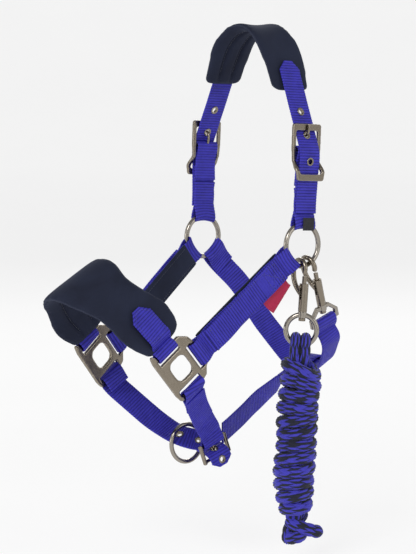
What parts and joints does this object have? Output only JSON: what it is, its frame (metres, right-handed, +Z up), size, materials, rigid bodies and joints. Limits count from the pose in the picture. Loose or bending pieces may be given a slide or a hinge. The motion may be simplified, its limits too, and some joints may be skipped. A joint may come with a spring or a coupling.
{
  "type": "head halter",
  "caption": "Webbing head halter with padded crown and noseband, cast squares, buckles, a clip-on throat strap and a coiled lead rope on a swivel snap.",
  "frame": {"origin": "centre of the lead ring under the chin, on the middle plane of the head", "axes": "+Z up with the head carried level, +X toward the horse's left (near) side, -Y toward the nose"},
  "size_m": [0.1901, 0.3346, 0.513],
  "materials": {
    "webbing_blue": "ribbed woven webbing with a soft sheen",
    "pad_navy": "matte brushed fabric",
    "pad_foam": "soft foam, hidden",
    "gunmetal": "polished warm gunmetal plating",
    "spring_steel": "drawn wire",
    "rope_cord": "braided cord in two tones",
    "tab_red": "woven label, blank",
    "label_dark": "woven label, blank"
  },
  "bodies": {
    "root": {"chin_buckle_frame": "gunmetal", "chin_eyelets": "gunmetal", "crown_pad_cover": "pad_navy", "crown_pad_foam": "pad_foam", "far_billet": "webbing_blue", "far_buckle_frame": "gunmetal", "far_cheek_liner": "pad_navy", "far_cheek_strap": "webbing_blue", "far_chin_strap": "webbing_blue", "far_crown_eyelets": "gunmetal", "far_crown_strap": "webbing_blue", "far_nose_strap": "webbing_blue", "far_square": "gunmetal", "jowl_strap": "webbing_blue", "near_billet": "webbing_blue", "near_buckle_frame": "gunmetal", "near_cheek_liner": "pad_navy", "near_cheek_strap": "webbing_blue", "near_chin_billet": "webbing_blue", "near_crown_eyelets": "gunmetal", "near_crown_strap": "webbing_blue", "near_nose_strap": "webbing_blue", "near_square": "gunmetal", "nose_pad_cover": "pad_navy", "nose_pad_foam": "pad_foam", "side_tab": "tab_red", "size_label": "label_dark", "throat_strap": "webbing_blue", "throat_swivel_eye": "gunmetal"},
    "near_ring": {"near_cheek_ring": "gunmetal"},
    "far_ring": {"far_cheek_ring": "gunmetal"},
    "chin_ring": {"chin_ring": "gunmetal"},
    "near_tongue": {"near_buckle_tongue": "gunmetal"},
    "far_tongue": {"far_buckle_tongue": "gunmetal"},
    "chin_tongue": {"chin_buckle_tongue": "gunmetal"},
    "lead_snap": {"lead_snap_body": "gunmetal", "lead_snap_spring": "spring_steel"},
    "lead_bolt": {"lead_snap_bolt": "gunmetal"},
    "lead_swivel": {"lead_swivel_eye": "gunmetal"},
    "lead_rope": {"lead_rope": "rope_cord"},
    "throat_snap": {"throat_snap_body": "gunmetal", "throat_snap_spring": "spring_steel"},
    "throat_bolt": {"throat_snap_bolt": "gunmetal"}
  },
  "joints": [
    {"name": "near_ring_spin", "type": "hinge", "parent": "root", "child": "near_ring", "pos_m": [0.079, 0.082, 0.196], "axis": [1, 0, 0], "continuous": true},
    {"name": "far_ring_spin", "type": "hinge", "parent": "root", "child": "far_ring", "pos_m": [-0.079, 0.082, 0.196], "axis": [1, 0, 0], "continuous": true},
    {"name": "chin_ring_swing", "type": "hinge", "parent": "root", "child": "chin_ring", "pos_m": [0, -0.0036, 0.0066], "axis": [0, 0.88, 0.475], "range_deg": [-5, 25]},
    {"name": "near_tongue_lift", "type": "hinge", "parent": "root", "child": "near_tongue", "pos_m": [0.079, 0.08654, 0.28889], "axis": [0, 0.9988, -0.0489], "range_deg": [0, 3]},
    {"name": "far_tongue_lift", "type": "hinge", "parent": "root", "child": "far_tongue", "pos_m": [-0.079, 0.08654, 0.28889], "axis": [0, -0.9988, 0.0489], "range_deg": [0, 3]},
    {"name": "chin_tongue_lift", "type": "hinge", "parent": "root", "child": "chin_tongue", "pos_m": [0.03, 0.009, 0.0035], "axis": [0, 0.9341, 0.357], "range_deg": [0, 3]},
    {"name": "lead_snap_swing", "type": "hinge", "parent": "root", "child": "lead_snap", "pos_m": [0.079, 0.08057, 0.17555], "axis": [0, -0.9976, 0.0698], "range_deg": [-8, 35]},
    {"name": "lead_bolt_slide", "type": "slide", "parent": "lead_snap", "child": "lead_bolt", "axis": [-0.0394, -0.0487, -0.998], "range_m": [0, 0.008], "stiffness_N_per_m": 200, "springref_m": -0.004, "deforming": ["lead_snap_spring"]},
    {"name": "lead_swivel_turn", "type": "hinge", "parent": "lead_snap", "child": "lead_swivel", "pos_m": [0.08364, 0.07827, 0.12839], "axis": [0.0394, 0.0487, 0.998], "continuous": true},
    {"name": "rope_swing", "type": "hinge", "parent": "lead_swivel", "child": "lead_rope", "pos_m": [0.08246, 0.0768, 0.09835], "axis": [0.6287, 0.7751, -0.0627], "range_deg": [-20, 20]},
    {"name": "throat_snap_twist", "type": "hinge", "parent": "root", "child": "throat_snap", "pos_m": [0.0779, 0.10859, 0.13356], "axis": [0.1599, -0.3597, 0.9193], "range_deg": [-5, 5]},
    {"name": "throat_bolt_slide", "type": "slide", "parent": "throat_snap", "child": "throat_bolt", "axis": [-0.1599, 0.3597, -0.9193], "range_m": [0, 0.008], "stiffness_N_per_m": 200, "springref_m": -0.004, "deforming": ["throat_snap_spring"]}
  ]
}
